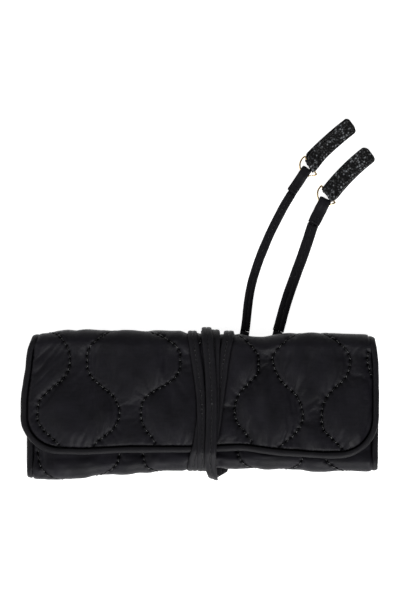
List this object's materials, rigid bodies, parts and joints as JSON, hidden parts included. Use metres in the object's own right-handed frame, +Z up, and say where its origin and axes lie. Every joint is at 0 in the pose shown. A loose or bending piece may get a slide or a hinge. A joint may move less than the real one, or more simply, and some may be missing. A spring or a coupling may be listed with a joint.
{
  "type": "jewellery roll",
  "caption": "Tri-fold quilted satin jewellery roll with zip pocket, ring bar and flat tie ending in D-rings and leather pulls.",
  "frame": {"origin": "on the surface the closed roll lies on, under the middle of its back panel", "axes": "+X along the roll, +Y from its bottom edge to its rolled top edge where the tie's tails leave, +Z up through the flap"},
  "size_m": [0.23, 0.2293, 0.0342],
  "materials": {
    "quilted_satin": "soft satin sheen, quilted",
    "lining_satin": "satin",
    "binding_satin": "satin",
    "strap_satin": "satin",
    "pull_leather": "glossy pebbled grain",
    "ring_metal": "polished pale gold",
    "zip_tape": "woven, matt",
    "zip_metal": "polished pale gold",
    "stud_metal": "polished pale gold"
  },
  "bodies": {
    "back": {"back_quilt": "quilted_satin", "back_lining": "lining_satin", "back_binding": "binding_satin", "zip_pocket_lower": "lining_satin", "zip_pocket_upper": "lining_satin", "zip_tape_lower": "zip_tape", "zip_tape_upper": "zip_tape", "zip_teeth_lower": "zip_metal", "zip_teeth_upper": "zip_metal", "zip_end_stops": "zip_metal", "ring_bar_bartack": "binding_satin", "press_stud_post": "stud_metal", "tie_back_runs": "strap_satin", "tie_front_runs": "strap_satin", "tie_tail_left": "strap_satin", "tie_tail_right": "strap_satin", "tail_loop_left": "strap_satin", "tail_loop_right": "strap_satin"},
    "top_spine": {"top_spine_quilt": "quilted_satin", "top_spine_lining": "lining_satin", "top_spine_binding": "binding_satin"},
    "flap": {"flap_quilt": "quilted_satin", "flap_lining": "lining_satin", "flap_binding": "binding_satin", "flap_pocket": "lining_satin", "flap_pocket_hem": "binding_satin"},
    "bottom_spine": {"bottom_spine_quilt": "quilted_satin", "bottom_spine_lining": "lining_satin", "bottom_spine_binding": "binding_satin"},
    "front": {"front_quilt": "quilted_satin", "front_lining": "lining_satin", "front_binding": "binding_satin", "front_pocket": "lining_satin", "front_pocket_hem": "binding_satin"},
    "ring_bar": {"ring_bar": "lining_satin", "press_stud_cap": "stud_metal"},
    "slider": {"zip_slider": "zip_metal"},
    "puller": {"zip_pull": "zip_metal"},
    "ring_left": {"d_ring_left": "ring_metal"},
    "ring_right": {"d_ring_right": "ring_metal"},
    "pull_left": {"leather_pull_left": "pull_leather"},
    "pull_right": {"leather_pull_right": "pull_leather"}
  },
  "joints": [
    {"name": "top_fold", "type": "hinge", "parent": "back", "child": "top_spine", "pos_m": [0, 0.04366, 0.00354], "axis": [-1, 0, 0], "range_deg": [0, 86], "deforming": ["tie_front_runs"]},
    {"name": "flap_fold", "type": "hinge", "parent": "top_spine", "child": "flap", "pos_m": [0, 0.04366, 0.03046], "axis": [-1, 0, 0], "range_deg": [0, 86]},
    {"name": "bottom_fold", "type": "hinge", "parent": "back", "child": "bottom_spine", "pos_m": [0, -0.04366, 0.00354], "axis": [1, 0, 0], "range_deg": [0, 89]},
    {"name": "front_fold", "type": "hinge", "parent": "bottom_spine", "child": "front", "pos_m": [0, -0.04366, 0.02456], "axis": [1, 0, 0], "range_deg": [0, 89]},
    {"name": "ring_bar_swing", "type": "hinge", "parent": "back", "child": "ring_bar", "pos_m": [-0.097, 0.022, 0.0086], "axis": [0, 0, -1], "range_deg": [0, 10]},
    {"name": "zip_slide", "type": "slide", "parent": "back", "child": "slider", "axis": [1, 0, 0], "range_m": [0, 0.182]},
    {"name": "zip_pull_swing", "type": "hinge", "parent": "slider", "child": "puller", "pos_m": [-0.09, -0.026, 0.01095], "axis": [0, -1, 0], "range_deg": [0, 40]},
    {"name": "ring_left_swing", "type": "hinge", "parent": "back", "child": "ring_left", "pos_m": [0.06759, 0.14784, 0.00185], "axis": [-0.829, 0.5592, 0], "range_deg": [-90, 0]},
    {"name": "ring_right_swing", "type": "hinge", "parent": "back", "child": "ring_right", "pos_m": [0.07979, 0.12872, 0.00185], "axis": [-0.8949, 0.4462, 0], "range_deg": [-90, 0]},
    {"name": "pull_left_swing", "type": "hinge", "parent": "ring_left", "child": "pull_left", "pos_m": [0.0715, 0.15364, 0.00185], "axis": [-0.5446, 0.8387, 0], "range_deg": [-80, 0]},
    {"name": "pull_right_swing", "type": "hinge", "parent": "ring_right", "child": "pull_right", "pos_m": [0.08292, 0.13499, 0.00185], "axis": [-0.6293, 0.7771, 0], "range_deg": [-80, 0]}
  ],
  "couplings": [
    {"joint": "flap_fold", "follows": "top_fold", "ratio": 1},
    {"joint": "bottom_fold", "follows": "top_fold", "ratio": 1.03},
    {"joint": "front_fold", "follows": "top_fold", "ratio": 1.03}
  ]
}
